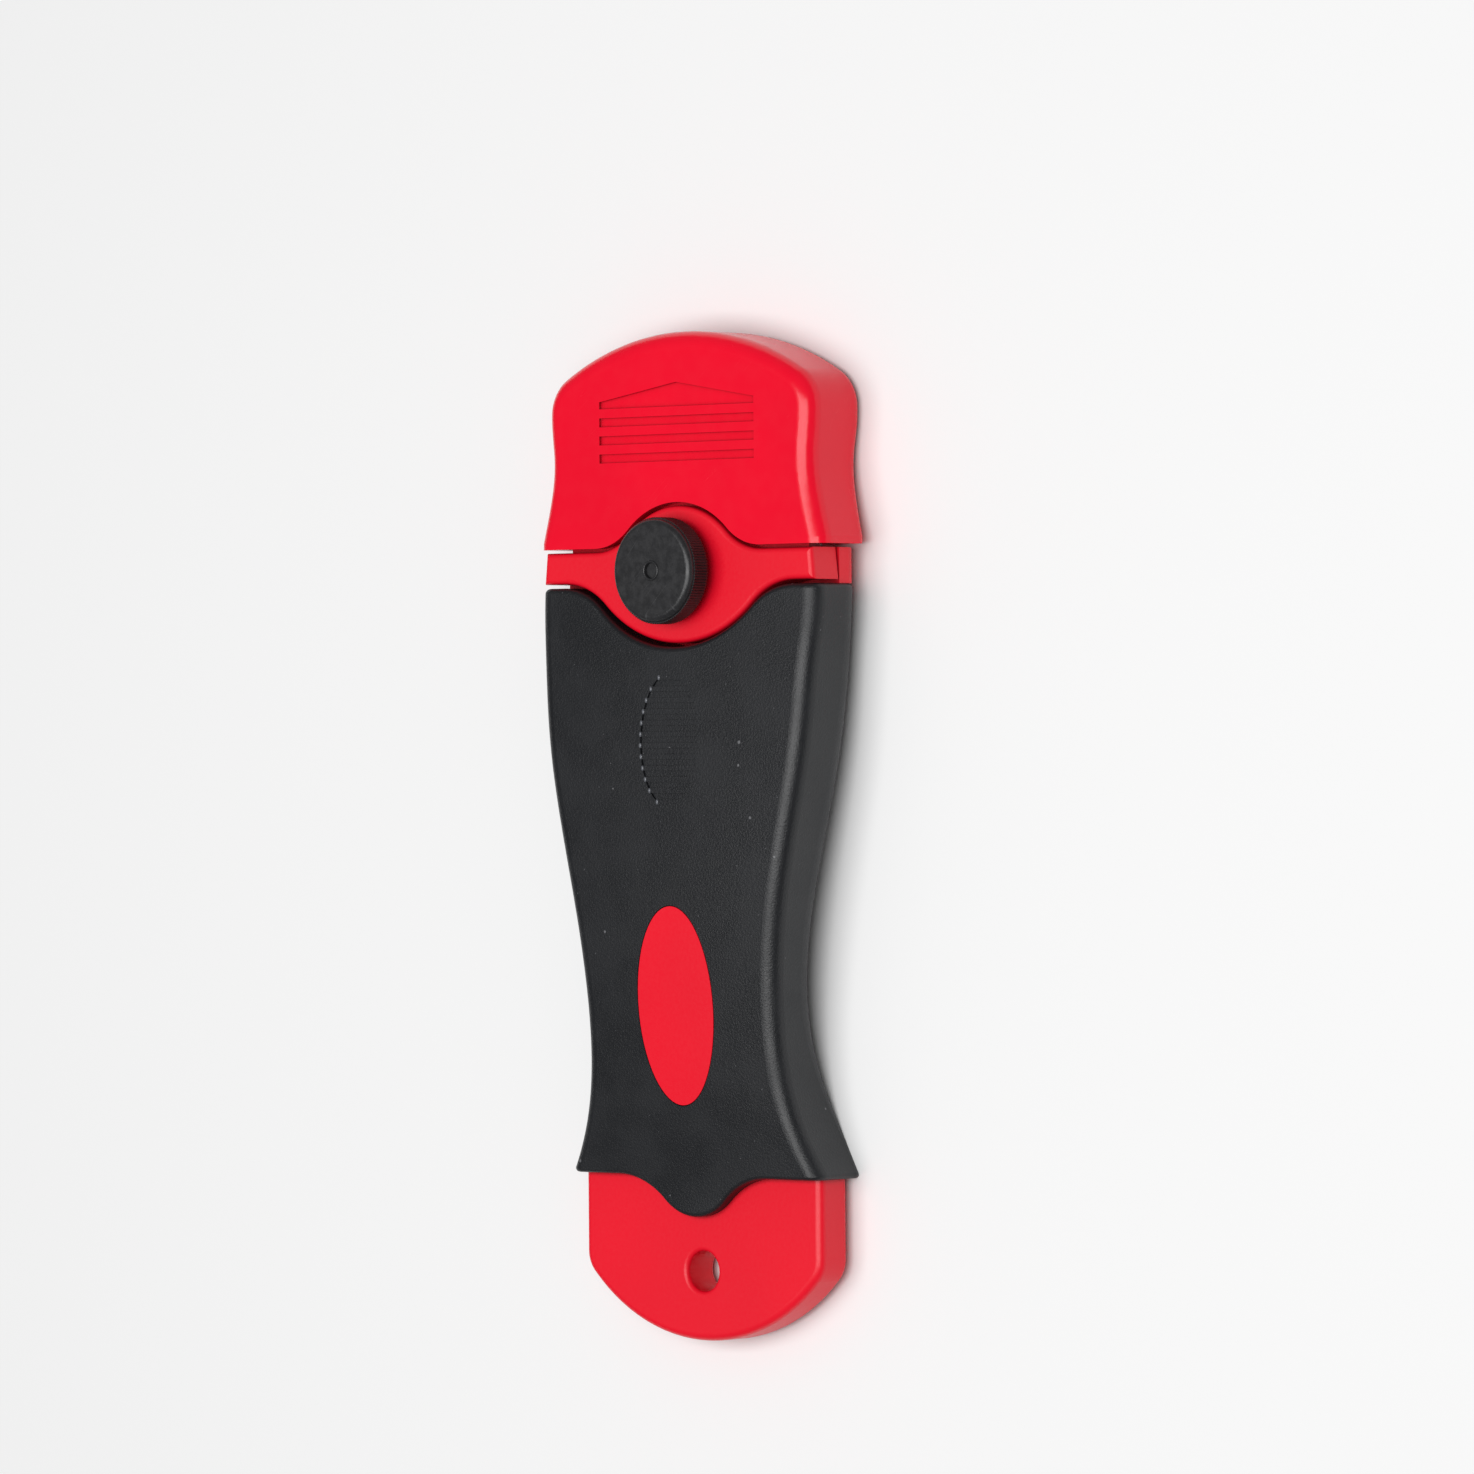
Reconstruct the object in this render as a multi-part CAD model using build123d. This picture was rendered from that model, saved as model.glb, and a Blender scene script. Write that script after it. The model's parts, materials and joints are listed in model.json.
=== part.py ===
from build123d import *
import math
import os

# A ceramic hob scraper that lies on its back: a red core with a soft black grip,
# a clamp plate with a knob that holds the blade, and a pull-off blade guard.
# X points right, Y from the hanging end to the blade, Z out of the front face.
# Lengths are millimetres. Y is measured from the hanging end while the pieces are
# made, and each piece is then moved so that the middle of the length is at Y = 0.

# Overall size
overall_length = 128.9
overrun = 3.0
running_gap = 0.05
slip_gap = 0.1
seat_gap = 0.3
match_gap = 0.01

# Blade
blade_width = 40.0
blade_depth = 18.0
blade_thickness = 0.25
blade_bevel = 1.2
blade_edge_land = 0.03
blade_plane = 5.3
blade_corner_gap = 3.28

# Clamp screw, washer, nut and knob
screw_radius = 2.0
screw_inset = 0.2
screw_head_across_flats = 7.0
screw_head_height = 2.8
washer_radius = 4.5
washer_thickness = 0.8
nut_across_flats = 7.0
nut_thickness = 2.2
knob_radius = 6.8
knob_height = 3.3
knob_hub_radius = 4.7
knob_hub_height = 0.8
knob_teeth = 114
knob_tooth_depth = 0.17
knob_band_height = 2.45
knob_edge_radius = 0.75
knob_edge_step = 0.05
dimple_radius = 1.15
dimple_depth = 0.35
dimple_rim = 0.16
knob_surround = 2.0

# Head of the core, with its jaw under the blade
head_back = 1.9
head_back_radius = 1.6
jaw_thickness = 2.5
jaw_length = 10.8
jaw_tip_rise = 0.9
jaw_tip_length = 4.0
boss_radius = 6.3
boss_rise = 2.0
boss_flat = 2.3

# Clamp plate
plate_wing_length = 5.0
plate_edge_radius = 0.7
plate_taper = 0.4
plate_tongue_thickness = 2.25
plate_heel_length = 2.0
peg_radius = 1.1
peg_length = 2.3
peg_offset = 15.0
peg_side_share = 0.5

# Joint line between the clamp plate and the blade guard: an edge with a bell
cap_bell_rise = 5.7
cap_bell_half_span = 14.0
cap_bell_crest_share = 0.6
cap_gap = 0.45

# Joint line between the clamp plate and the grip: a bell that points down
grip_top_drop = -7.8
grip_top_half_span = 19.4
grip_top_crest_share = 0.66
grip_gap = 0.5

# Lower edge of the grip, a smaller bell over the hanging end
grip_bottom = 21.1
grip_bottom_drop = -5.2
grip_bottom_half_span = 12.5
grip_bottom_crest_share = 0.4

# Grip sleeve: stations from its hidden start to its top, chosen by eye
grip_start_spare = 1.9
grip_end_spare = 1.2
grip_side_step = 0.4
grip_rise = 1.65
grip_arch = 2.6
grip_crown = 0.25
grip_front_radius = 2.1
grip_back_radius = 3.4
grip_wall = 1.9
grip_back_wall = 1.0
grip_top_radius = 0.7
grip_bottom_radius = 0.5
station_shares = (0.0, 0.09, 0.17, 0.262, 0.36, 0.48, 0.61, 0.755, 0.886, 1.0)
width_shares = (1.07, 0.906, 0.772, 0.704, 0.70, 0.746, 0.84, 0.938, 0.984, 1.0)
front_shares = (0.64, 0.69, 0.775, 0.855, 0.92, 0.98, 1.0, 0.98, 0.935, 0.89)
back_shares = (-0.25, -0.25, -0.12, 0.46, 0.90, 1.0, 0.85, 0.62, 0.46, 0.38)
back_round_shares = (0.35, 0.35, 0.42, 0.72, 0.95, 1.0, 1.0, 1.0, 1.0, 0.95)

# Oval window in the grip, where the core shows, and the ribbed thumb oval
window_place_share = 0.29
window_half_width = 6.3
window_half_length = 12.7
window_gap = 0.12
thumb_place_share = 0.74
thumb_half_width = 4.9
thumb_half_length = 8.6
thumb_ridge_pitch = 1.44
thumb_groove_width = 0.8
thumb_groove_depth = 0.3

# Hanging end of the core
tail_side_step = 3.3
tail_back = 1.0
tail_thickness = 5.4
tail_end_radius = 26.0
tail_corner_radius = 4.0
tail_edge_radius = 1.0
tail_overlap = 1.5
spine_overlap = 0.8
hang_hole_radius = 2.6
hang_hole_rim = 0.6
hang_hole_centre = 8.9

# Blade guard
cap_wall = 1.4
cap_side_wall = 1.55
cap_side_gap = 0.45
cap_back_gap = 0.25
cap_lift_room = 1.1
cap_lip_back = 1.2
cap_flat_length = 12.4
cap_dome_radius = 39.0
cap_shoulder_flare = 0.4
cap_shoulder_length = 3.36
cap_shoulder_radius = 5.6
cap_waist_share = 0.66
cap_lip_flare = 2.0
cap_lip_step = 1.2
cap_lip_height = 0.9
cap_lip_angle = 15.0
cap_front_radius = 2.2
cap_back_radius = 1.6

# Grip relief on the blade guard: a roof over three bars, all sunk
relief_half_width = 13.1
relief_depth = 0.35
relief_inset = 9.6
relief_pitch = 2.32
relief_bar_height = 1.15
relief_roof_rise = 3.1
relief_roof_side = 0.9
relief_bars = 3

# Half widths that follow from the blade
jaw_half_width = blade_width / 2 + slip_gap
cap_cavity_half_width = jaw_half_width + cap_side_gap
cap_waist_half_width = cap_cavity_half_width + cap_side_wall
cap_shoulder_half_width = cap_waist_half_width + cap_shoulder_flare
cap_lip_half_width = cap_waist_half_width + cap_lip_flare
head_half_width = cap_lip_half_width - cap_lip_step
grip_half_width = head_half_width + grip_side_step
tail_half_width = grip_half_width - tail_side_step
side_reach = cap_lip_half_width + overrun

# Heights, from the back of the object to its front
jaw_back = blade_plane - jaw_thickness
plate_back = blade_plane + blade_thickness
plate_tongue_front = plate_back + plate_tongue_thickness
cap_cavity_back = jaw_back - cap_back_gap
cap_cavity_front = plate_tongue_front + cap_lift_room
cap_front = cap_cavity_front + cap_wall
plate_front = cap_front + slip_gap
hub_back = plate_front + washer_thickness
knob_back = hub_back + knob_hub_height
knob_front = knob_back + knob_height
nut_front = head_back + nut_thickness
screw_end = head_back + screw_inset
boss_front = blade_plane + boss_rise
grip_crest = plate_front + grip_rise
tail_front = tail_back + tail_thickness
top_reach = plate_front + grip_crest

# Places along the length, from the blade's end back to the hanging end
cap_dome_centre = overall_length - cap_dome_radius
blade_drop = cap_dome_radius - math.sqrt(cap_dome_radius ** 2 - (blade_width / 2) ** 2)
blade_front = overall_length - blade_drop - cap_wall - blade_corner_gap
blade_back = blade_front - blade_depth
boss_side = blade_back - slip_gap
jaw_front = blade_back + jaw_length
knob_axis = boss_side - boss_flat
cap_edge = knob_axis + knob_radius + knob_surround - cap_bell_rise
cap_lip = cap_edge + cap_lip_height
cap_dome_side = cap_dome_centre + math.sqrt(cap_dome_radius ** 2 - cap_shoulder_half_width ** 2)
cap_shoulder = cap_dome_side - cap_shoulder_length
cap_waist = cap_edge + (cap_shoulder - cap_edge) * cap_waist_share
cap_flat_start = overall_length - cap_flat_length
relief_top = overall_length - relief_inset
grip_top = cap_edge - plate_wing_length
grip_end = grip_top + grip_end_spare
grip_start = grip_bottom + grip_bottom_drop - grip_start_spare
peg_line = cap_edge + (grip_top - cap_edge) * peg_side_share
thumb_centre = grip_bottom + (grip_top - grip_bottom) * thumb_place_share
window_centre = grip_bottom + (grip_top - grip_bottom) * window_place_share
tail_top = grip_bottom + tail_overlap
spine_start = tail_top - spine_overlap

# The three bells: level, rise, half span and the crest's share of the two radii
cap_bell = (cap_edge, cap_bell_rise, cap_bell_half_span, cap_bell_crest_share)
grip_top_bell = (grip_top, grip_top_drop, grip_top_half_span, grip_top_crest_share)
grip_bottom_bell = (grip_bottom, grip_bottom_drop, grip_bottom_half_span, grip_bottom_crest_share)


def box(low, high):
    """A box from its lowest to its highest corner."""
    size = [high[i] - low[i] for i in range(len(low))]
    middle = [(high[i] + low[i]) / 2 for i in range(len(low))]
    return Pos(*middle) * Box(*size)


def round_bar(radius, low, high, x=0, y=0):
    """A cylinder along Z between two heights."""
    return Pos(x, y, (low + high) / 2) * Cylinder(radius, high - low)


def hexagon_bar(across_flats, low, high, y):
    """A hexagonal bar along Z with two flats that face along Y."""
    face = Pos(0, y, low) * RegularPolygon(across_flats / 2, 6, major_radius=False)
    return extrude(face, high - low, dir=(0, 0, 1))


def bell_edge(level, rise, half_span, crest_share, offset, reach):
    """A straight edge along X with an S-shaped bell, moved by offset towards +Y."""
    way = math.copysign(1, rise)
    turn = 2 * math.atan(abs(rise) / half_span)
    crest_radius = half_span / math.sin(turn) * crest_share
    shoulder_radius = half_span / math.sin(turn) - crest_radius
    crest = crest_radius + way * offset
    shoulder = shoulder_radius - way * offset
    crest_y = level + rise - way * crest_radius
    shoulder_y = level + way * shoulder_radius

    def on_crest(angle):
        return (crest * math.sin(angle), crest_y + way * crest * math.cos(angle))

    def on_shoulder(side, angle):
        x = side * (half_span - shoulder * math.sin(angle))
        return (x, shoulder_y - way * shoulder * math.cos(angle))

    edges = [Line((-reach, level + offset), (-half_span, level + offset))]
    edges.append(ThreePointArc(on_shoulder(-1, 0), on_shoulder(-1, turn / 2), on_shoulder(-1, turn)))
    edges.append(ThreePointArc(on_crest(-turn), on_crest(0), on_crest(turn)))
    edges.append(ThreePointArc(on_shoulder(1, turn), on_shoulder(1, turn / 2), on_shoulder(1, 0)))
    edges.append(Line((half_span, level + offset), (reach, level + offset)))
    return edges


def bell_block(bell, offset, reach, far, low, high):
    """The block between a bell-shaped edge and the line Y = far, from low to high in Z."""
    edges = bell_edge(*bell, offset, reach)
    start = edges[0] @ 0
    end = edges[-1] @ 1
    edges.append(Line((end.X, end.Y), (reach, far)))
    edges.append(Line((reach, far), (-reach, far)))
    edges.append(Line((-reach, far), (start.X, start.Y)))
    return extrude(Pos(0, 0, low) * make_face(edges), high - low, dir=(0, 0, 1))


def grip_section(place, inset, back_inset):
    """One cross-section of the grip, drawn inwards by a wall for the core inside it."""
    y = grip_start + (grip_end - grip_start) * station_shares[place]
    half = grip_half_width * width_shares[place] - inset
    front = grip_crest * front_shares[place] - inset
    back = grip_arch * back_shares[place] + back_inset
    front_round = grip_front_radius - inset / 2
    back_round = grip_back_radius * back_round_shares[place] - back_inset / 2
    slant = 1 - math.sqrt(2) / 2

    def corner(side, x_in, z):
        return (side * (half - x_in), y, z)

    edges = [Line(corner(-1, back_round, back), corner(1, back_round, back))]
    edges.append(ThreePointArc(
        corner(1, back_round, back),
        corner(1, back_round * slant, back + back_round * slant),
        corner(1, 0, back + back_round)))
    edges.append(Line(corner(1, 0, back + back_round), corner(1, 0, front - front_round)))
    edges.append(ThreePointArc(
        corner(1, 0, front - front_round),
        corner(1, front_round * slant, front - front_round * slant),
        corner(1, front_round, front)))
    edges.append(ThreePointArc(
        corner(1, front_round, front),
        (0, y, front + grip_crown),
        corner(-1, front_round, front)))
    edges.append(ThreePointArc(
        corner(-1, front_round, front),
        corner(-1, front_round * slant, front - front_round * slant),
        corner(-1, 0, front - front_round)))
    edges.append(Line(corner(-1, 0, front - front_round), corner(-1, 0, back + back_round)))
    edges.append(ThreePointArc(
        corner(-1, 0, back + back_round),
        corner(-1, back_round * slant, back + back_round * slant),
        corner(-1, back_round, back)))
    return Wire(edges)


def grip_loft(inset, back_inset):
    """The grip's outer form, or the core's form a wall inside it."""
    places = range(len(station_shares))
    return Solid.make_loft([grip_section(place, inset, back_inset) for place in places])


def oval_block(centre, half_width, half_length):
    """An upright oval prism through the whole thickness."""
    face = Pos(0, centre, 0) * Ellipse(half_width, half_length)
    return extrude(face, top_reach, dir=(0, 0, 1))


grip_form = grip_loft(0, 0)


def make_tail():
    """The flat hanging end: a round end on straight sides, with its hanging hole."""
    centre = tail_end_radius
    meet = centre - math.sqrt(tail_end_radius ** 2 - tail_half_width ** 2)
    outline = make_face([
        Line((-tail_half_width, meet), (-tail_half_width, tail_top)),
        Line((-tail_half_width, tail_top), (tail_half_width, tail_top)),
        Line((tail_half_width, tail_top), (tail_half_width, meet)),
        ThreePointArc((tail_half_width, meet), (0, 0), (-tail_half_width, meet)),
    ])
    tail = extrude(Pos(0, 0, tail_back) * outline, tail_front - tail_back, dir=(0, 0, 1))
    corners = tail.edges().filter_by(Axis.Z).group_by(Axis.Y)[0]
    tail = fillet(corners, tail_corner_radius)
    rims = tail.edges().filter_by(Axis.Z, reverse=True)
    tail = fillet(rims.filter_by_position(Axis.Y, 0, tail_top - match_gap), tail_edge_radius)
    tail -= round_bar(hang_hole_radius, 0, plate_front, y=hang_hole_centre)
    rims = tail.edges().filter_by(GeomType.CIRCLE)
    rims = rims.filter_by(lambda edge: abs(edge.radius - hang_hole_radius) < match_gap)
    return fillet(rims, hang_hole_rim)


def make_head():
    """The flat head of the core, its jaw under the blade and the boss round the screw."""
    inner_half = head_half_width - grip_back_radius
    root = grip_top + grip_top_drop - boss_radius
    wings = bell_block(cap_bell, -cap_gap, side_reach, grip_top, head_back, blade_plane)
    wings &= box((-head_half_width, 0, 0), (head_half_width, overall_length, plate_front))
    back_edges = wings.edges().filter_by(Axis.Y).group_by(Axis.Z)[0]
    head = fillet(back_edges, head_back_radius)
    head += box((-inner_half, root, head_back), (inner_half, grip_top, blade_plane))
    head += box((-jaw_half_width, grip_top, jaw_back), (jaw_half_width, jaw_front, blade_plane))
    tip = make_face(Polyline(
        (0, jaw_front - jaw_tip_length, jaw_back),
        (0, jaw_front, jaw_back + jaw_tip_rise),
        (0, jaw_front, jaw_back), close=True))
    head -= extrude(tip, side_reach, both=True, dir=(1, 0, 0))
    boss = round_bar(boss_radius, head_back, boss_front, y=knob_axis)
    head += boss & box((-side_reach, 0, 0), (side_reach, boss_side, boss_front))
    head -= hexagon_bar(nut_across_flats + slip_gap, 0, nut_front, knob_axis)
    head -= round_bar(screw_radius + running_gap, 0, boss_front, y=knob_axis)
    for side in (-1, 1):
        hole_end = plate_back - peg_length - seat_gap
        head -= round_bar(peg_radius + slip_gap, hole_end, plate_front, side * peg_offset, peg_line)
    return head


def make_handle_core():
    """The red core: hanging end, spine in the grip, oval land, head and jaw."""
    spine = grip_loft(grip_wall, grip_back_wall)
    spine &= bell_block(grip_top_bell, -grip_wall, side_reach, spine_start, 0, top_reach)
    land = oval_block(window_centre, window_half_width, window_half_length) & grip_form
    land &= box((-side_reach, 0, blade_plane), (side_reach, grip_end, top_reach))
    return make_tail() + spine + land + make_head()


def end_rims(sleeve, longest):
    """The curved edges at the sleeve's two ends, which are shorter than its sides."""
    rims = sleeve.edges().filter_by(GeomType.BSPLINE)
    return rims.filter_by(lambda edge: edge.length < longest)


def make_grip_sleeve(core):
    """The soft sleeve round the core, with bell-shaped ends, window and thumb ribs."""
    sleeve = grip_form & bell_block(grip_top_bell, 0, side_reach, 0, 0, top_reach)
    sleeve &= bell_block(grip_bottom_bell, 0, side_reach, overall_length, 0, top_reach)
    middle = (grip_start + grip_end) / 2
    lower = end_rims(sleeve, middle).filter_by_position(Axis.Y, 0, middle)
    lower = lower.filter_by(lambda edge: min((edge @ 0).Z, (edge @ 1).Z) > blade_plane)
    sleeve = fillet(lower, grip_bottom_radius)
    upper = end_rims(sleeve, middle).filter_by_position(Axis.Y, middle, overall_length)
    sleeve = fillet(upper, grip_top_radius)
    thumb = oval_block(thumb_centre, thumb_half_width, thumb_half_length)
    thumb &= grip_form - Pos(0, 0, -thumb_groove_depth) * grip_form
    count = math.floor(thumb_half_length / thumb_ridge_pitch)
    for place in range(-count, count + 1):
        low = thumb_centre + place * thumb_ridge_pitch - thumb_groove_width / 2
        high = low + thumb_groove_width
        sleeve -= thumb & box((-thumb_half_width, low, blade_plane), (thumb_half_width, high, top_reach))
    window = oval_block(window_centre, window_half_width + window_gap, window_half_length + window_gap)
    sleeve -= window & box((-side_reach, 0, blade_plane), (side_reach, grip_end, top_reach))
    return sleeve - core


def make_clamp_plate():
    """The front jaw: wings and lobe in front, a tongue on the blade, pegs and a heel."""
    body = bell_block(cap_bell, -cap_gap, side_reach, 0, plate_back, plate_front)
    body &= bell_block(grip_top_bell, grip_gap, side_reach, overall_length, plate_back, plate_front)
    low = grip_top + grip_gap
    high = cap_edge - cap_gap
    slant = plate_taper / (high - low)
    wide = head_half_width + slant * low
    narrow = head_half_width - plate_taper
    wings = make_face(Polyline(
        (-wide, 0), (wide, 0),
        (narrow, high), (narrow, overall_length),
        (-narrow, overall_length), (-narrow, high), close=True))
    body &= extrude(Pos(0, 0, plate_back) * wings, plate_front - plate_back, dir=(0, 0, 1))
    rims = body.edges().group_by(Axis.Z)[-1]
    body = fillet(rims, plate_edge_radius)
    tongue = box((-jaw_half_width, low, plate_back), (jaw_half_width, jaw_front, plate_tongue_front))
    nose = make_face(Polyline(
        (0, jaw_front - jaw_tip_length, plate_tongue_front),
        (0, jaw_front, plate_back + jaw_tip_rise),
        (0, jaw_front, plate_tongue_front), close=True))
    tongue -= extrude(nose, side_reach, both=True, dir=(1, 0, 0))
    tongue &= bell_block(grip_top_bell, grip_gap, side_reach, overall_length, plate_back, plate_front)
    body += tongue
    boss_room = round_bar(boss_radius + seat_gap, 0, boss_front + seat_gap, y=knob_axis)
    body -= boss_room & box((-side_reach, 0, 0), (side_reach, boss_side + slip_gap, plate_front))
    heel_back = grip_top + grip_top_drop + grip_gap
    heel_end = heel_back + plate_heel_length
    heel = bell_block(grip_top_bell, grip_gap, side_reach, heel_end, blade_plane, plate_back)
    body += heel & box((-boss_radius, heel_back, 0), (boss_radius, heel_end, plate_front))
    body -= round_bar(screw_radius + slip_gap, 0, plate_front, y=knob_axis)
    for side in (-1, 1):
        body += round_bar(peg_radius, plate_back - peg_length, plate_back, side * peg_offset, peg_line)
    return body


def make_knob():
    """The low knob: a serrated band under a smooth rounded edge, with a dimple."""
    points = []
    root = knob_radius - knob_tooth_depth
    half_step = math.pi / knob_teeth
    for tooth in range(knob_teeth):
        angle = 2 * half_step * tooth
        points.append((knob_radius * math.cos(angle), knob_radius * math.sin(angle)))
        points.append((root * math.cos(angle + half_step), root * math.sin(angle + half_step)))
    toothed = Pos(0, 0, knob_back) * make_face(Polyline(*points, close=True))
    band = extrude(toothed, knob_band_height, dir=(0, 0, 1))
    inner = root - knob_edge_step
    slant = knob_edge_radius * (1 - math.sqrt(2) / 2)
    profile = make_face([
        Line((0, 0, hub_back), (knob_hub_radius, 0, hub_back)),
        Line((knob_hub_radius, 0, hub_back), (knob_hub_radius, 0, knob_back)),
        Line((knob_hub_radius, 0, knob_back), (inner, 0, knob_back)),
        Line((inner, 0, knob_back), (inner, 0, knob_front - knob_edge_radius)),
        ThreePointArc(
            (inner, 0, knob_front - knob_edge_radius),
            (inner - slant, 0, knob_front - slant),
            (inner - knob_edge_radius, 0, knob_front)),
        Line((inner - knob_edge_radius, 0, knob_front), (0, 0, knob_front)),
        Line((0, 0, knob_front), (0, 0, hub_back)),
    ])
    knob = revolve(profile, Axis.Z) + band
    knob += Pos(0, 0, knob_front) * Torus(dimple_radius, dimple_rim)
    knob -= round_bar(dimple_radius - dimple_rim, knob_front - dimple_depth, knob_front + dimple_depth)
    head_end = hub_back + screw_head_height
    knob = Pos(0, knob_axis, 0) * knob
    return knob - hexagon_bar(screw_head_across_flats, 0, head_end, knob_axis)


def make_screw():
    """The hexagon-headed screw that is pressed into the knob."""
    head_end = hub_back + screw_head_height
    head = hexagon_bar(screw_head_across_flats, hub_back, head_end, knob_axis)
    return head + round_bar(screw_radius, screw_end, hub_back, y=knob_axis)


def make_washer():
    """A flat washer between the knob and the clamp plate."""
    ring = round_bar(washer_radius, plate_front, hub_back, y=knob_axis)
    return ring - round_bar(screw_radius + slip_gap, 0, knob_front, y=knob_axis)


def make_nut():
    """The thin hexagon nut in the back of the core."""
    nut = hexagon_bar(nut_across_flats, head_back, nut_front, knob_axis)
    return nut - round_bar(screw_radius + running_gap, 0, knob_front, y=knob_axis)


def make_blade():
    """A straight single-edge blade, ground on both sides to a thin edge."""
    middle = (blade_plane + plate_back) / 2
    profile = make_face(Polyline(
        (0, blade_back, blade_plane),
        (0, blade_front - blade_bevel, blade_plane),
        (0, blade_front, middle - blade_edge_land),
        (0, blade_front, middle + blade_edge_land),
        (0, blade_front - blade_bevel, plate_back),
        (0, blade_back, plate_back), close=True))
    return extrude(profile, blade_width / 2, both=True, dir=(1, 0, 0))


def cap_outline():
    """The guard's plan: a domed top, round shoulders, a waist and a flared lip."""
    half = cap_shoulder_half_width
    flare = math.radians(cap_lip_angle)
    sides = []
    for side in (1, -1):
        sides.append(Spline(
            (side * half, cap_shoulder),
            (side * cap_waist_half_width, cap_waist),
            (side * cap_lip_half_width, cap_lip),
            tangents=[(0, -1), (side * math.sin(flare), -math.cos(flare))]))
    return make_face([
        ThreePointArc((-half, cap_dome_side), (0, overall_length), (half, cap_dome_side)),
        Line((half, cap_dome_side), (half, cap_shoulder)),
        sides[0],
        Line((cap_lip_half_width, cap_lip), (cap_lip_half_width, cap_edge)),
        Line((cap_lip_half_width, cap_edge), (-cap_lip_half_width, cap_edge)),
        Line((-cap_lip_half_width, cap_edge), (-cap_lip_half_width, cap_lip)),
        sides[1],
        Line((-half, cap_shoulder), (-half, cap_dome_side)),
    ])


def cap_cavity():
    """The plan of the space inside the guard: straight sides and a domed end."""
    half = cap_cavity_half_width
    meet = cap_dome_centre + math.sqrt((cap_dome_radius - cap_wall) ** 2 - half ** 2)
    face = make_face([
        Line((-half, 0), (half, 0)),
        Line((half, 0), (half, meet)),
        ThreePointArc((half, meet), (0, overall_length - cap_wall), (-half, meet)),
        Line((-half, meet), (-half, 0)),
    ])
    corners = face.vertices().group_by(Axis.Y)[-1]
    return Pos(0, 0, cap_cavity_back) * fillet(corners, cap_shoulder_radius - cap_wall)


def make_relief():
    """The sunk relief on the front: a shallow roof over straight bars."""
    floor = cap_front - relief_depth
    high = cap_front + overrun
    roof = make_face(Polyline(
        (-relief_half_width, relief_top),
        (relief_half_width, relief_top),
        (relief_half_width, relief_top + relief_roof_side),
        (0, relief_top + relief_roof_rise),
        (-relief_half_width, relief_top + relief_roof_side), close=True))
    relief = [extrude(Pos(0, 0, floor) * roof, high - floor, dir=(0, 0, 1))]
    for bar in range(1, relief_bars + 1):
        low = relief_top - bar * relief_pitch
        relief.append(box(
            (-relief_half_width, low, floor),
            (relief_half_width, low + relief_bar_height, high)))
    return relief


def make_cap():
    """The blade guard: a shell open at its lower end, notched round the knob."""
    outer = extrude(cap_outline(), cap_front, dir=(0, 0, 1))
    corners = outer.edges().filter_by(Axis.Z).group_by(Axis.Y)[-1]
    outer = fillet(corners, cap_shoulder_radius)
    slope = make_face(Polyline(
        (0, cap_flat_start, 0), (0, cap_edge, cap_lip_back), (0, cap_edge, 0), close=True))
    outer -= extrude(slope, side_reach, both=True, dir=(1, 0, 0))
    front_rims = outer.edges().group_by(Axis.Z)[-1]
    front_rims = front_rims.filter_by_position(Axis.Y, cap_edge + match_gap, overall_length)
    outer = fillet(front_rims, cap_front_radius)
    back_rims = outer.edges().filter_by_position(Axis.Z, 0, cap_lip_back, inclusive=(True, False))
    back_rims = back_rims.filter_by_position(Axis.Y, cap_edge, overall_length, inclusive=(False, True))
    across = [edge for edge in back_rims if abs(edge.center().X) < match_gap and edge.center().Y < cap_shoulder]
    outer = fillet([edge for edge in back_rims if edge not in across], cap_back_radius)
    cavity = extrude(cap_cavity(), cap_cavity_front - cap_cavity_back, dir=(0, 0, 1))
    notch = bell_block(cap_bell, 0, side_reach, 0, 0, cap_front)
    guard = outer - cavity - notch
    for cut in make_relief():
        guard -= cut
    return guard


def export_all(parts):
    """Move each piece into the part's frame and write it as its own STEP file."""
    os.makedirs("parts", exist_ok=True)
    for name, part in parts.items():
        export_step(Pos(0, -overall_length / 2, 0) * part, f"parts/{name}.step")


core = make_handle_core()
export_all({
    "handle_core": core,
    "grip_sleeve": make_grip_sleeve(core),
    "clamp_plate": make_clamp_plate(),
    "clamp_knob": make_knob(),
    "clamp_screw": make_screw(),
    "knob_washer": make_washer(),
    "screw_nut": make_nut(),
    "scraper_blade": make_blade(),
    "blade_guard": make_cap(),
})
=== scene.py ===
# %% [markdown]
# # A ceramic hob scraper, dressed for the studio
# The scraper is small: 129 mm long, 48 mm wide and 15.5 mm high. It lies on its back.
# Every rigid piece comes ready-made from the frame. What is added here is its finish,
# the rib-end beads with their painted glints, the light, the floor and the camera.

# %% Load the frame
import json
import math
import bpy
from mathutils import Matrix, Vector


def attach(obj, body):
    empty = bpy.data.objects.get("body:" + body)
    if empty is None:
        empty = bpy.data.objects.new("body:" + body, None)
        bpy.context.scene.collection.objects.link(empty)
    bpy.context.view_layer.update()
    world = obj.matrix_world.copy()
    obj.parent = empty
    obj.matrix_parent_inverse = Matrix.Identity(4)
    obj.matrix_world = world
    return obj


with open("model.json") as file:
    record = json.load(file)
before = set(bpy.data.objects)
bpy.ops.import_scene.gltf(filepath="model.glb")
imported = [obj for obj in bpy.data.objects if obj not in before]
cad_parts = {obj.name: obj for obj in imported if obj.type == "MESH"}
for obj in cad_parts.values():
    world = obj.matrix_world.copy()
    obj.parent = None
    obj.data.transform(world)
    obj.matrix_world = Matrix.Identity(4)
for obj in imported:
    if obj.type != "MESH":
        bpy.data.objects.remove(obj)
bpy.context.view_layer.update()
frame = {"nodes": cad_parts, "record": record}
nodes = frame["nodes"]
print("pieces in the frame:", sorted(nodes))

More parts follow.
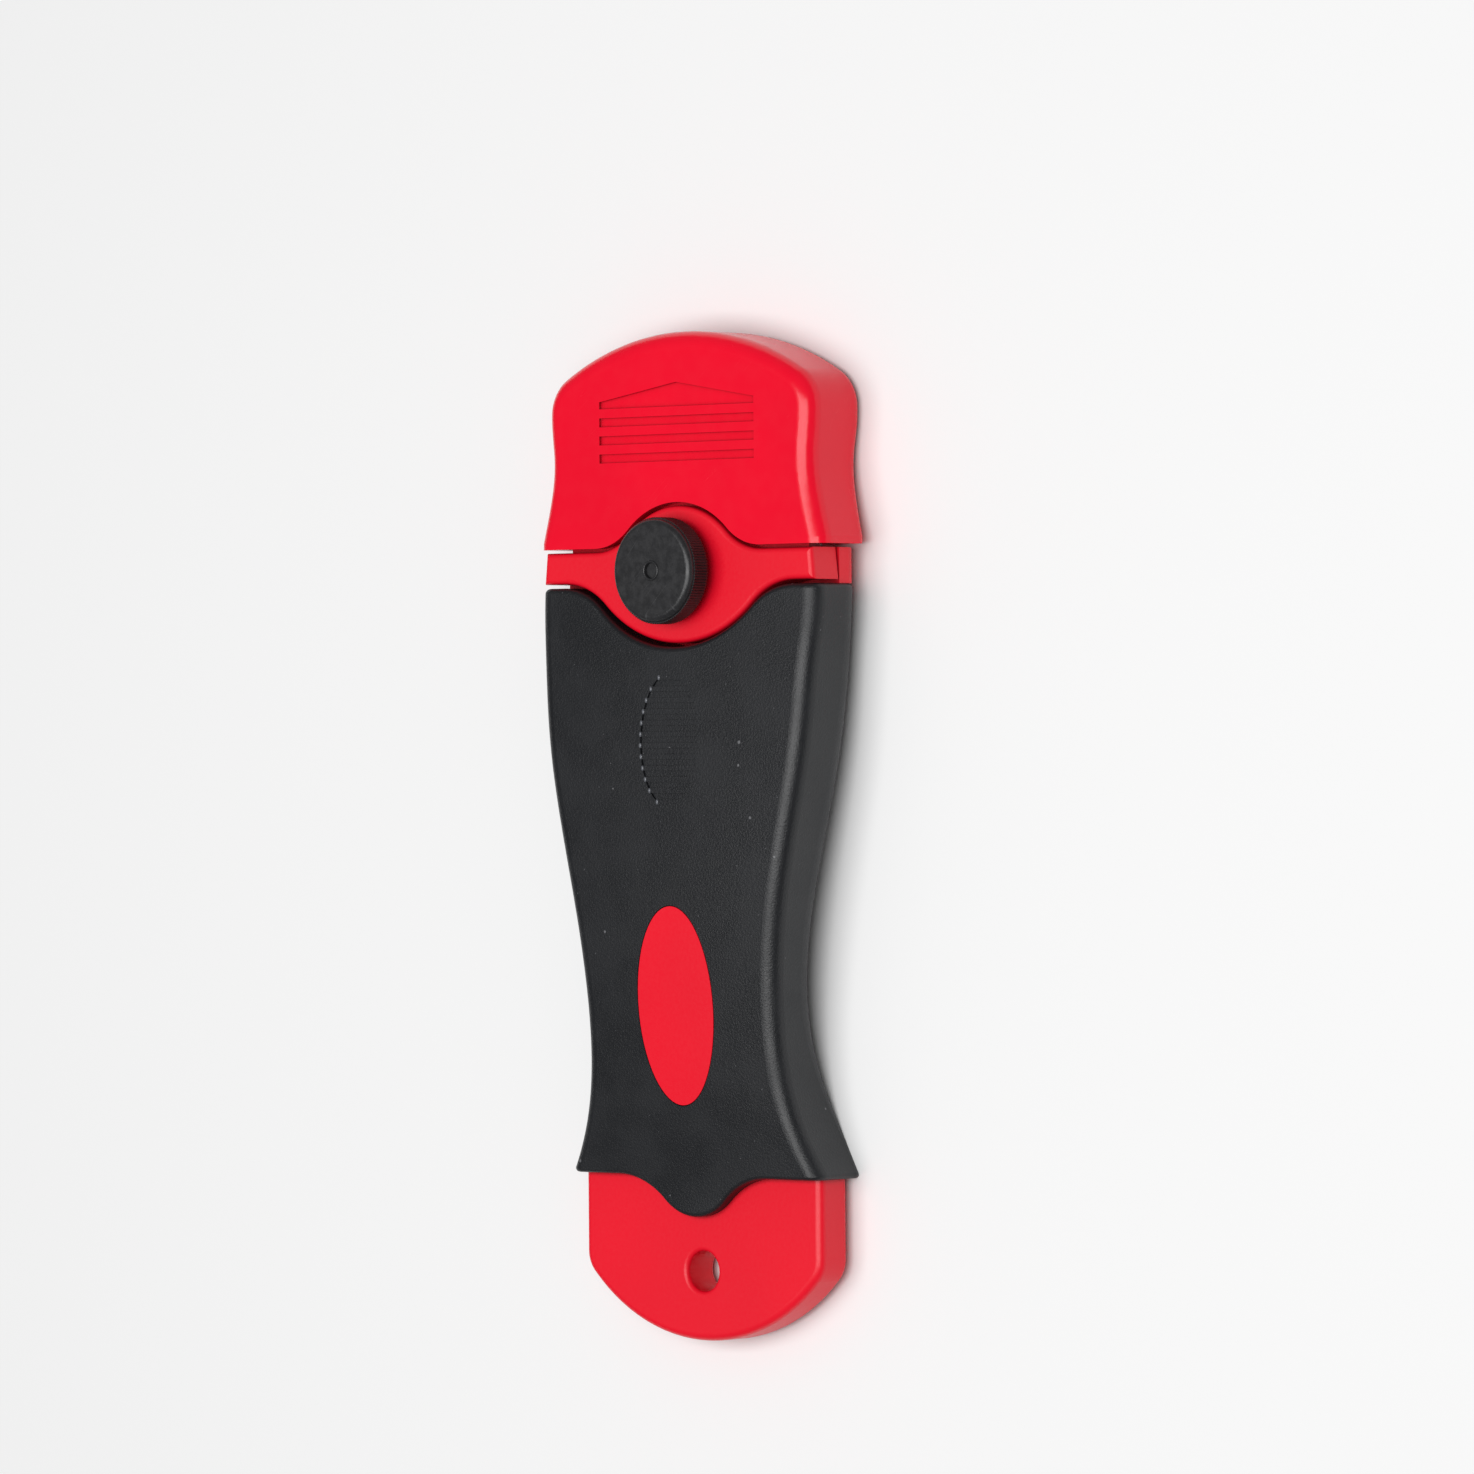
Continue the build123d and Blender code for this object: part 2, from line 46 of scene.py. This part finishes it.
# %% [markdown]
# A photographer would stand to the right of the tool and use a long lens, so that the two
# long sides stay nearly parallel. The view is 41 degrees to the right of straight above,
# and the blade's end points up in the picture. A small roll leans the top to the left.

# %% Camera
MM = 0.001
VIEW_SIDE = 41.0
VIEW_ROLL = -0.43
VIEW_DISTANCE = 1050 * MM
LENS = 200.0
SENSOR = 36.0
AIM = Vector((1.0, 12.65, 0.0)) * MM
CLIP_RATIO = 20


def make_camera():
    side = math.radians(VIEW_SIDE)
    data = bpy.data.cameras.new("camera")
    data.lens = LENS
    data.sensor_width = SENSOR
    data.clip_start = VIEW_DISTANCE / CLIP_RATIO
    data.clip_end = VIEW_DISTANCE * CLIP_RATIO
    camera = bpy.data.objects.new("camera", data)
    bpy.context.collection.objects.link(camera)
    camera.location = AIM + VIEW_DISTANCE * Vector((math.sin(side), 0.0, math.cos(side)))
    turn = Matrix.Rotation(side, 3, "Y") @ Matrix.Rotation(math.radians(VIEW_ROLL), 3, "Z")
    camera.rotation_euler = turn.to_euler()
    bpy.context.scene.camera = camera


make_camera()
print("camera", VIEW_SIDE, "degrees to the side at", VIEW_DISTANCE, "m")

# %% [markdown]
# Every material and every Geometry Nodes tree below is built with small helpers. The first one
# adds a node and fills its inputs: a socket is linked, and anything else is set as a value.

# %% Node helpers


def add(tree, kind, values=None, **settings):
    """A node with its settings, and with its inputs linked or set by name or place."""
    made = tree.nodes.new(kind)
    for key, value in settings.items():
        setattr(made, key, value)
    for key, value in (values or {}).items():
        if isinstance(value, bpy.types.NodeSocket):
            tree.links.new(value, made.inputs[key])
        else:
            made.inputs[key].default_value = value
    return made


def math_node(tree, operation, first, second=0.0):
    """The output of a Math node."""
    return add(tree, "ShaderNodeMath", {0: first, 1: second}, operation=operation).outputs[0]


def ramp(tree, value, low, high, to_low=0.0, to_high=1.0):
    """A value that runs smoothly from to_low to to_high while its input runs from low to high."""
    made = add(tree, "ShaderNodeMapRange", {
        "Value": value, "From Min": low, "From Max": high, "To Min": to_low, "To Max": to_high,
    }, interpolation_type="SMOOTHSTEP")
    return made.outputs["Result"]


def mask_group(name, sockets, build):
    """A shader group with float inputs and one output, Mask, which build returns."""
    tree = bpy.data.node_groups.new(name, "ShaderNodeTree")
    for label, value in sockets.items():
        socket = tree.interface.new_socket(name=label, in_out="INPUT", socket_type="NodeSocketFloat")
        socket.default_value = value
    tree.interface.new_socket(name="Mask", in_out="OUTPUT", socket_type="NodeSocketFloat")
    inputs = tree.nodes.new("NodeGroupInput")
    place = add(tree, "ShaderNodeTexCoord").outputs["Object"]
    add(tree, "NodeGroupOutput", {"Mask": build(tree, inputs.outputs, place)})
    print("group", name, "with", len(tree.nodes), "nodes")
    return tree


# %% [markdown]
# Three masks are shared by all finishes. Scales are in features per metre, because the model
# is in metres: 1000 means one feature in each millimetre.
# - **specks**: a few cells of a Voronoi pattern hold a small round grain of dust.
# - **hairlines**: the contour lines of a noise that is stretched along one direction.
# - **mottle**: a soft cloud with finer clouds in it, for skins and uneven shine.

# %% Shared masks
SPECK_GROWTH = 0.5
SPECK_LEAST = 0.4
SPECK_CORE = 0.5
HAIR_STRETCH = (1.0, 0.07, 1.0)
HAIR_DETAIL = 1.0
HAIR_LEVEL = 0.5
PATCH_SCALE = 160.0
PATCH_DETAIL = 2.0
PATCH_EDGE = (0.5, 0.68)
MOTTLE_DETAIL = 4.0
MOTTLE_EDGE = (0.25, 0.75)


def build_specks(tree, inputs, place):
    cells = add(tree, "ShaderNodeTexVoronoi", {"Vector": place, "Scale": inputs["Scale"]})
    chance = add(tree, "ShaderNodeSeparateColor", {"Color": cells.outputs["Color"]}).outputs["Red"]
    chosen = math_node(tree, "LESS_THAN", chance, inputs["Share"])
    size = math_node(tree, "MULTIPLY", chance, SPECK_GROWTH)
    reach = math_node(tree, "DIVIDE", size, inputs["Share"])
    edge = math_node(tree, "MULTIPLY", math_node(tree, "ADD", reach, SPECK_LEAST), inputs["Size"])
    within = math_node(tree, "DIVIDE", cells.outputs["Distance"], edge)
    grain = ramp(tree, within, SPECK_CORE, 1.0, 1.0, 0.0)
    return math_node(tree, "MULTIPLY", grain, chosen)


def build_hairlines(tree, inputs, place):
    turned = add(tree, "ShaderNodeVectorRotate", {
        "Vector": place, "Angle": inputs["Angle"]}, rotation_type="Z_AXIS").outputs[0]
    stretched = add(tree, "ShaderNodeVectorMath", {
        0: turned, 1: HAIR_STRETCH}, operation="MULTIPLY").outputs[0]
    waves = add(tree, "ShaderNodeTexNoise", {
        "Vector": stretched, "Scale": inputs["Scale"], "Detail": HAIR_DETAIL}).outputs[0]
    middle = math_node(tree, "ABSOLUTE", math_node(tree, "SUBTRACT", waves, HAIR_LEVEL))
    lines = ramp(tree, middle, 0.0, inputs["Width"], 1.0, 0.0)
    patches = add(tree, "ShaderNodeTexNoise", {
        "Vector": turned, "Scale": PATCH_SCALE, "Detail": PATCH_DETAIL}).outputs[0]
    where = ramp(tree, patches, *PATCH_EDGE)
    return math_node(tree, "MULTIPLY", lines, where)


def build_mottle(tree, inputs, place):
    clouds = add(tree, "ShaderNodeTexNoise", {
        "Vector": place, "Scale": inputs["Scale"], "Detail": MOTTLE_DETAIL,
        "Roughness": inputs["Roughness"]}).outputs[0]
    return ramp(tree, clouds, *MOTTLE_EDGE)


SPECKS = mask_group("specks", {"Scale": 900.0, "Share": 0.08, "Size": 0.25}, build_specks)
HAIRLINES = mask_group("hairlines", {"Scale": 900.0, "Angle": 0.6, "Width": 0.006}, build_hairlines)
MOTTLE = mask_group("mottle", {"Scale": 300.0, "Roughness": 0.6}, build_mottle)


MIX_FIRST = 6
MIX_SECOND = 7
MIX_RESULT = 2


def mask(tree, group, **values):
    """The Mask output of a shared group with its inputs set."""
    made = add(tree, "ShaderNodeGroup", node_tree=group)
    for key, value in values.items():
        made.inputs[key.capitalize()].default_value = value
    return made.outputs["Mask"]


def tint(tree, factor, below, colour):
    """A colour laid over another one, or over a colour socket, where the factor is high."""
    if not isinstance(below, bpy.types.NodeSocket):
        below = (*below, 1.0)
    values = {"Factor": factor, MIX_FIRST: below, MIX_SECOND: (*colour, 1.0)}
    return add(tree, "ShaderNodeMix", values, data_type="RGBA").outputs[MIX_RESULT]


def scaled(tree, value, share):
    """A value times a share of it."""
    return math_node(tree, "MULTIPLY", value, share)


def darker(colour, share):
    """A colour with every channel times a share."""
    return tuple(value * share for value in colour)


def relief(tree, height, distance, below=None):
    """A Bump node's normal; distance is the height of the relief in metres."""
    values = {"Height": height, "Distance": distance, "Strength": 1.0}
    if below is not None:
        values["Normal"] = below
    return add(tree, "ShaderNodeBump", values).outputs["Normal"]


def finish(name, build):
    """A material whose Principled shader gets its inputs from build."""
    material = bpy.data.materials.new(name)
    material.use_nodes = True
    tree = material.node_tree
    shader = tree.nodes["Principled BSDF"]
    for key, value in build(tree).items():
        if isinstance(value, bpy.types.NodeSocket):
            tree.links.new(value, shader.inputs[key])
        else:
            shader.inputs[key].default_value = value
    print("material", name, "with", len(tree.nodes), "nodes")
    return material


# %% [markdown]
# ## Finishes
# The guard is a shinier red than the core and the plate, which have a satin skin. The grip is
# a matte rubber that holds dust. The knob is a satin black with the marks of handling. The
# metal pieces are brushed: the screw, washer and nut are a little paler than the blade.
# Cuts and seams in the red pieces get painted shade: a deeper red where little light can reach.

# %% Plastics and rubber
GUARD_RED = (0.9, 0.0022, 0.024)
CORE_RED = (0.86, 0.0025, 0.02)
GRIP_BLACK = (0.0095, 0.0105, 0.013)
KNOB_BLACK = (0.024, 0.024, 0.026)
# Painted shade: the deep red laid into recesses and seams where little light reaches.
RECESS_SHADE_RED = (0.25, 0.001, 0.006)
# Pale bead colour: a painted highlight for the glints at the rib ends.
GLINT_PALE_BLACK = (0.11, 0.115, 0.13, 1.0)
RED_DUST = (0.9, 0.5, 0.5)
GRIP_DUST = (0.16, 0.16, 0.17)
KNOB_WEAR = (0.12, 0.12, 0.125)
RED_CLOUDS = {"scale": 60.0, "roughness": 0.4}
RED_SPECKS = {"scale": 260.0, "share": 0.05, "size": 0.16}
RED_MARKS = {"scale": 420.0, "angle": 0.9, "width": 0.003}
RED_GRAIN_ROUGHNESS = 0.55
RED_FADE = 0.94
RED_DUST_SHARE = 0.3
RED_SHINE_RANGE = 0.05
RED_MARK_ROUGHNESS = 0.1
RED_RELIEF = 0.006 * MM
RED_SPECULAR = 0.4
GUARD_SHINE = 0.2
GUARD_GRAIN = 500.0
CORE_SHINE = 0.36
CORE_GRAIN = 2200.0
RECESS_REACH = 0.8 * MM
RECESS_RAYS = 8
RECESS_EDGE = (0.3, 1.0)
PAINTED_SHADE_SHARE = 0.75
GRIP_SKIN = {"scale": 3600.0, "roughness": 0.6}
GRIP_CLOUDS = {"scale": 130.0, "roughness": 0.5}
GRIP_SPECKS = {"scale": 520.0, "share": 0.1, "size": 0.17}
GRIP_FINE_SPECKS = {"scale": 1500.0, "share": 0.07, "size": 0.2}
GRIP_SHINE = (0.36, 0.46)
GRIP_FADE = 0.82
GRIP_DUST_SHARE = 0.8
FINE_DUST_SHARE = 0.6
GRIP_RELIEF = 0.02 * MM
DUST_RELIEF = 0.01 * MM
POLISH_ROUGHNESS = 0.2
KNOB_CLOUDS = {"scale": 900.0, "roughness": 0.7}
KNOB_MARKS = {"scale": 700.0, "angle": -0.7, "width": 0.008}
KNOB_CROSSING = {"scale": 520.0, "angle": 0.8, "width": 0.006}
KNOB_SHINE = (0.28, 0.42)
KNOB_FADE = 0.72
KNOB_WEAR_SHARE = 0.35
KNOB_RELIEF = 0.008 * MM
SCRATCH_RELIEF = 0.004 * MM


def red_skin(tree, colour, shine, grain):
    """A moulded red skin: faint clouds, a little dust, painted shade in recesses and fine marks."""
    clouds = mask(tree, MOTTLE, **RED_CLOUDS)
    skin = mask(tree, MOTTLE, scale=grain, roughness=RED_GRAIN_ROUGHNESS)
    dust = mask(tree, SPECKS, **RED_SPECKS)
    base = tint(tree, clouds, colour, darker(colour, RED_FADE))
    base = tint(tree, scaled(tree, dust, RED_DUST_SHARE), base, RED_DUST)
    # Painted shade: ambient occlusion darkens recesses and seams toward a deep red.
    reach = {"Distance": RECESS_REACH}
    light = add(tree, "ShaderNodeAmbientOcclusion", reach, samples=RECESS_RAYS).outputs["AO"]
    shade = math_node(tree, "SUBTRACT", 1.0, ramp(tree, light, *RECESS_EDGE))
    base = tint(tree, scaled(tree, shade, PAINTED_SHADE_SHARE), base, RECESS_SHADE_RED)
    marks = mask(tree, HAIRLINES, **RED_MARKS)
    rough = ramp(tree, skin, 0.0, 1.0, shine, shine + RED_SHINE_RANGE)
    rough = math_node(tree, "ADD", rough, scaled(tree, marks, RED_MARK_ROUGHNESS))
    return {
        "Base Color": base,
        "Roughness": rough,
        "Normal": relief(tree, skin, RED_RELIEF),
        "Specular IOR Level": RED_SPECULAR,
    }


def build_guard(tree):
    return red_skin(tree, GUARD_RED, GUARD_SHINE, GUARD_GRAIN)


def build_red(tree):
    return red_skin(tree, CORE_RED, CORE_SHINE, CORE_GRAIN)


def build_grip(tree):
    """A matte rubber with a grained skin and two sizes of dust."""
    skin = mask(tree, MOTTLE, **GRIP_SKIN)
    clouds = mask(tree, MOTTLE, **GRIP_CLOUDS)
    dust = mask(tree, SPECKS, **GRIP_SPECKS)
    fine_dust = mask(tree, SPECKS, **GRIP_FINE_SPECKS)
    base = tint(tree, clouds, darker(GRIP_BLACK, GRIP_FADE), GRIP_BLACK)
    grains = math_node(tree, "MAXIMUM", dust, scaled(tree, fine_dust, FINE_DUST_SHARE))
    base = tint(tree, scaled(tree, grains, GRIP_DUST_SHARE), base, GRIP_DUST)
    normal = relief(tree, skin, GRIP_RELIEF)
    return {
        "Base Color": base,
        "Roughness": ramp(tree, clouds, 0.0, 1.0, *GRIP_SHINE),
        "Normal": relief(tree, grains, DUST_RELIEF, normal),
    }


def build_rib_glint(tree):
    """Smooth rubber whose pale colour is a painted highlight: the glint at each rib end."""
    return {"Base Color": GLINT_PALE_BLACK, "Roughness": POLISH_ROUGHNESS}


def build_knob(tree):
    """A satin black with crossing scratches from handling."""
    clouds = mask(tree, MOTTLE, **KNOB_CLOUDS)
    marks = mask(tree, HAIRLINES, **KNOB_MARKS)
    crossing = mask(tree, HAIRLINES, **KNOB_CROSSING)
    wear = math_node(tree, "MAXIMUM", marks, crossing)
    base = tint(tree, clouds, darker(KNOB_BLACK, KNOB_FADE), KNOB_BLACK)
    base = tint(tree, scaled(tree, wear, KNOB_WEAR_SHARE), base, KNOB_WEAR)
    normal = relief(tree, clouds, KNOB_RELIEF)
    return {
        "Base Color": base,
        "Roughness": ramp(tree, clouds, 0.0, 1.0, *KNOB_SHINE),
        "Normal": relief(tree, wear, SCRATCH_RELIEF, normal),
    }


# %% Metals
METAL_CLOUDS = {"scale": 240.0, "roughness": 0.6}
METAL_FADE = 0.85
METAL_SHINE_RANGE = 0.1
STREAK_ROUGHNESS = 0.15
STREAK_RELIEF = 0.003 * MM
ZINC = (0.62, 0.63, 0.66)
ZINC_STREAKS = {"scale": 1400.0, "angle": 0.4, "width": 0.02}
ZINC_SHINE = 0.25
BLADE = (0.6, 0.62, 0.64)
BLADE_STREAKS = {"scale": 2600.0, "angle": 0.0, "width": 0.02}
BLADE_SHINE = 0.18


def metal(tree, colour, shine, brushing):
    """A brushed metal: streaks that are rougher than what lies between them."""
    streaks = mask(tree, HAIRLINES, **brushing)
    clouds = mask(tree, MOTTLE, **METAL_CLOUDS)
    rough = ramp(tree, clouds, 0.0, 1.0, shine, shine + METAL_SHINE_RANGE)
    return {
        "Base Color": tint(tree, clouds, colour, darker(colour, METAL_FADE)),
        "Metallic": 1.0,
        "Roughness": math_node(tree, "ADD", rough, scaled(tree, streaks, STREAK_ROUGHNESS)),
        "Normal": relief(tree, streaks, STREAK_RELIEF),
    }


def build_zinc(tree):
    return metal(tree, ZINC, ZINC_SHINE, ZINC_STREAKS)


def build_blade(tree):
    return metal(tree, BLADE, BLADE_SHINE, BLADE_STREAKS)


# %% Put the finishes on the pieces
BUILDERS = {
    "red_plastic": build_red,
    "guard_plastic": build_guard,
    "grip_rubber": build_grip,
    "knob_plastic": build_knob,
    "zinc_steel": build_zinc,
    "blade_steel": build_blade,
}
MATERIALS = {slot: finish(slot, build) for slot, build in BUILDERS.items()}
SLOTS = {row["node"]: row["material_slot"] for row in frame["record"]["subparts"]}
for name, slot in SLOTS.items():
    piece = nodes[name]
    piece.data.materials.clear()
    piece.data.materials.append(MATERIALS[slot])
print("finished", len(SLOTS), "pieces in", len(MATERIALS), "materials")

# %% [markdown]
# ## Rib ends with painted glints
# The thumb oval has fine ribs. Their left ends show as a row of small pale dots: smooth beads
# whose pale colour is a painted highlight for the glints there. A Geometry Nodes tree places them: a
# line of points, bent along the oval and dropped onto the sleeve, with one flat bead on each point.
# Half of each bead is in the sleeve.

# %% Rib ends
RIB_COUNT = 12
RIB_PITCH = 1.44 * MM
OVAL_HALF_WIDTH = 4.9 * MM
OVAL_HALF_LENGTH = 8.6 * MM
OVAL_PLACE = 12.37 * MM
BEAD_RADIUS = 0.26 * MM
BEAD_SHAPE = (0.8, 1.3, 0.5)
BEAD_ROUNDS = 3
DROP_FROM = 30 * MM


def rib_end_tree():
    """Beads along the left half of an oval, dropped onto the sleeve."""
    tree = bpy.data.node_groups.new("rib_ends", "GeometryNodeTree")
    tree.interface.new_socket(name="Geometry", in_out="INPUT", socket_type="NodeSocketGeometry")
    kinds = {"Sleeve": "Object", "Count": "Int", "Pitch": "Float", "Half Width": "Float",
             "Half Length": "Float", "Place": "Float", "Radius": "Float", "Material": "Material"}
    for label, kind in kinds.items():
        tree.interface.new_socket(name=label, in_out="INPUT", socket_type="NodeSocket" + kind)
    tree.interface.new_socket(name="Geometry", in_out="OUTPUT", socket_type="NodeSocketGeometry")
    given = tree.nodes.new("NodeGroupInput").outputs
    gaps = math_node(tree, "SUBTRACT", given["Count"], 1.0)
    start = math_node(tree, "MULTIPLY", math_node(tree, "MULTIPLY", gaps, given["Pitch"]), -0.5)
    step = add(tree, "ShaderNodeCombineXYZ", {"Y": given["Pitch"]}).outputs[0]
    first = add(tree, "ShaderNodeCombineXYZ", {"Y": start}).outputs[0]
    line = add(tree, "GeometryNodeMeshLine", {
        "Count": given["Count"], "Start Location": first, "Offset": step}).outputs[0]
    spot = add(tree, "GeometryNodeInputPosition").outputs[0]
    along = add(tree, "ShaderNodeSeparateXYZ", {0: spot}).outputs["Y"]
    share = math_node(tree, "DIVIDE", along, given["Half Length"])
    rest = math_node(tree, "SUBTRACT", 1.0, math_node(tree, "MULTIPLY", share, share))
    across = math_node(tree, "MULTIPLY", math_node(tree, "SQRT", rest), given["Half Width"])
    above = add(tree, "ShaderNodeCombineXYZ", {
        "X": math_node(tree, "MULTIPLY", across, -1.0),
        "Y": math_node(tree, "ADD", along, given["Place"]), "Z": DROP_FROM}).outputs[0]
    sleeve = add(tree, "GeometryNodeObjectInfo", {"Object": given["Sleeve"]}).outputs["Geometry"]
    drop = add(tree, "GeometryNodeRaycast", {
        "Target Geometry": sleeve, "Source Position": above, "Ray Direction": (0.0, 0.0, -1.0),
        "Ray Length": DROP_FROM}).outputs["Hit Position"]
    placed = add(tree, "GeometryNodeSetPosition", {"Geometry": line, "Position": drop}).outputs[0]
    bead = add(tree, "GeometryNodeMeshIcoSphere", {
        "Radius": given["Radius"], "Subdivisions": BEAD_ROUNDS}).outputs[0]
    beads = add(tree, "GeometryNodeInstanceOnPoints", {
        "Points": placed, "Instance": bead, "Scale": BEAD_SHAPE}).outputs[0]
    real = add(tree, "GeometryNodeRealizeInstances", {0: beads}).outputs[0]
    done = add(tree, "GeometryNodeSetMaterial", {
        "Geometry": real, "Material": given["Material"]}).outputs[0]
    add(tree, "NodeGroupOutput", {"Geometry": done})
    return tree


def grow(name, tree, values):
    """A new piece from a Geometry Nodes tree, with its named inputs set and its mesh made real."""
    seed = bpy.data.objects.new(name, bpy.data.meshes.new(name))
    bpy.context.collection.objects.link(seed)
    modifier = seed.modifiers.new("grow", "NODES")
    modifier.node_group = tree
    for item in tree.interface.items_tree:
        if item.in_out == "INPUT" and item.name in values:
            modifier[item.identifier] = values[item.name]
    bpy.context.view_layer.update()
    shape = seed.evaluated_get(bpy.context.evaluated_depsgraph_get())
    mesh = bpy.data.meshes.new_from_object(shape)
    seed.modifiers.remove(modifier)
    seed.data = mesh
    return seed


# The beads' pale colour is a painted highlight for the rib-end glints.
rib_ends = grow("rib_ends", rib_end_tree(), {
    "Sleeve": nodes["grip_sleeve"], "Count": RIB_COUNT, "Pitch": RIB_PITCH,
    "Half Width": OVAL_HALF_WIDTH, "Half Length": OVAL_HALF_LENGTH, "Place": OVAL_PLACE,
    "Radius": BEAD_RADIUS, "Material": finish("grip_rib_glint", build_rib_glint)})
for facet in rib_ends.data.polygons:
    facet.use_smooth = True
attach(rib_ends, "handle")
heights = [point.co.z / MM for point in rib_ends.data.vertices]
print("rib ends:", len(heights), "vertices")
print("they lie from", round(min(heights), 2), "to", round(max(heights), 2), "mm above the floor")

# %% [markdown]
# ## Studio
# The floor is a plain pale sheet. It is large, because other views look along it. One wide
# softbox hangs above the tool: it lights the fronts evenly and draws the bright line along
# the rounded right edges. Reflections see a dim room, so that the colours stay deep.

# %% Floor and light
FLOOR_HALF = 3.0
FLOOR_GREY = 0.88
FLOOR_ROUGHNESS = 0.7
FLOOR_SPECULAR = 0.2
ROOM_LIGHT = 0.25
ROOM_REFLECTION = 0.1
WHITE = (1.0, 1.0, 1.0, 1.0)
SOFTBOX_HEIGHT = 1.0
SOFTBOX_SIDE = 0.16
SOFTBOX_SIZE = (0.6, 1.2)
SOFTBOX_POWER = 10.6


def build_floor(tree):
    """A plain matte grey; it needs no texture."""
    return {
        "Base Color": (FLOOR_GREY, FLOOR_GREY, FLOOR_GREY, 1.0),
        "Roughness": FLOOR_ROUGHNESS,
        "Specular IOR Level": FLOOR_SPECULAR,
    }


def make_floor():
    mesh = bpy.data.meshes.new("floor")
    far = FLOOR_HALF
    corners = [(-far, -far, 0), (far, -far, 0), (far, far, 0), (-far, far, 0)]
    mesh.from_pydata(corners, [], [tuple(range(len(corners)))])
    floor = bpy.data.objects.new("floor", mesh)
    bpy.context.collection.objects.link(floor)
    mesh.materials.append(finish("pale_floor", build_floor))


def make_world():
    """White behind the tool, dim as a light and dimmer still in reflections."""
    world = bpy.data.worlds.new("studio")
    world.use_nodes = True
    tree = world.node_tree
    background = tree.nodes["Background"]
    background.inputs["Color"].default_value = WHITE
    rays = add(tree, "ShaderNodeLightPath")
    level = add(tree, "ShaderNodeMapRange", {
        "Value": rays.outputs["Is Glossy Ray"], "To Min": ROOM_LIGHT,
        "To Max": ROOM_REFLECTION}).outputs["Result"]
    level = math_node(tree, "MAXIMUM", level, rays.outputs["Is Camera Ray"])
    tree.links.new(level, background.inputs["Strength"])
    bpy.context.scene.world = world


def area_light(name, place, size, power):
    """A rectangular softbox that faces the tool."""
    data = bpy.data.lights.new(name, "AREA")
    data.shape = "RECTANGLE"
    data.size = size[0]
    data.size_y = size[1]
    data.energy = power
    light = bpy.data.objects.new(name, data)
    bpy.context.collection.objects.link(light)
    light.location = place
    light.rotation_euler = (-Vector(place)).to_track_quat("-Z", "Y").to_euler()


make_floor()
make_world()
area_light("top_softbox", (SOFTBOX_SIDE, 0.0, SOFTBOX_HEIGHT), SOFTBOX_SIZE, SOFTBOX_POWER)
bpy.context.scene.view_settings.view_transform = "Standard"
print("softbox of", SOFTBOX_SIZE, "m at", SOFTBOX_HEIGHT, "m")
